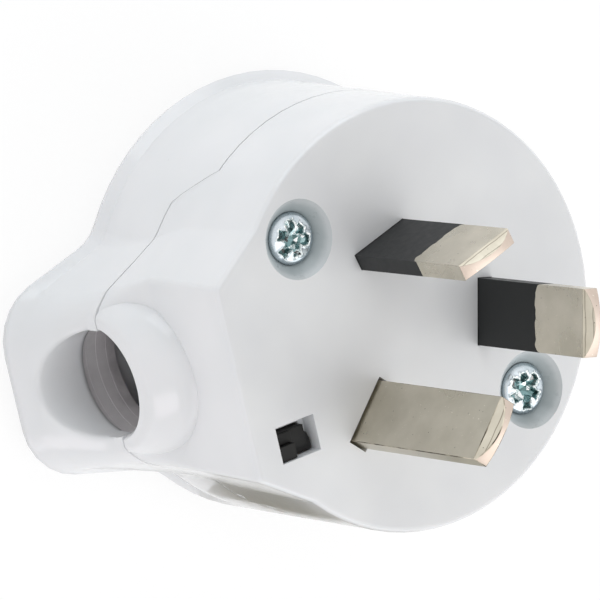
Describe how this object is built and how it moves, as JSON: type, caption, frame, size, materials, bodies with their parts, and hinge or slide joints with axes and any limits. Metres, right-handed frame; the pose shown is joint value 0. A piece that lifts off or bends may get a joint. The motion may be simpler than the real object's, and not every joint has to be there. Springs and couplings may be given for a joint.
{
  "type": "type i plug",
  "caption": "Rewirable side-entry plug with three flat pins, two of them sleeved, in a white two-part body.",
  "frame": {"origin": "centre of the flat back that it rests on, under the centre of the pin pattern", "axes": "+Z along the pins, out of the pin face; -Y from the centre towards the earth pin; the cord leaves between -X and -Y"},
  "size_m": [0.0467, 0.0477, 0.0464],
  "materials": {
    "housing": "white ABS, satin face and glossy sides",
    "pin": "nickel-plated brass with light tool marks",
    "sleeve": "black nylon sleeve, satin",
    "terminal": "machined brass",
    "screw": "zinc-plated steel, bluish",
    "clamp": "black nylon"
  },
  "bodies": {
    "root": {"front_housing": "housing", "rear_cover": "housing", "active_pin": "pin", "neutral_pin": "pin", "earth_pin": "pin", "active_sleeve": "sleeve", "neutral_sleeve": "sleeve", "active_terminal": "terminal", "neutral_terminal": "terminal", "earth_terminal": "terminal", "active_terminal_screw": "screw", "neutral_terminal_screw": "screw", "earth_terminal_screw": "screw", "left_cover_screw": "screw", "right_cover_screw": "screw", "left_insert": "terminal", "right_insert": "terminal", "cord_clamp": "clamp", "clamp_screw": "screw"}
  },
  "joints": []
}
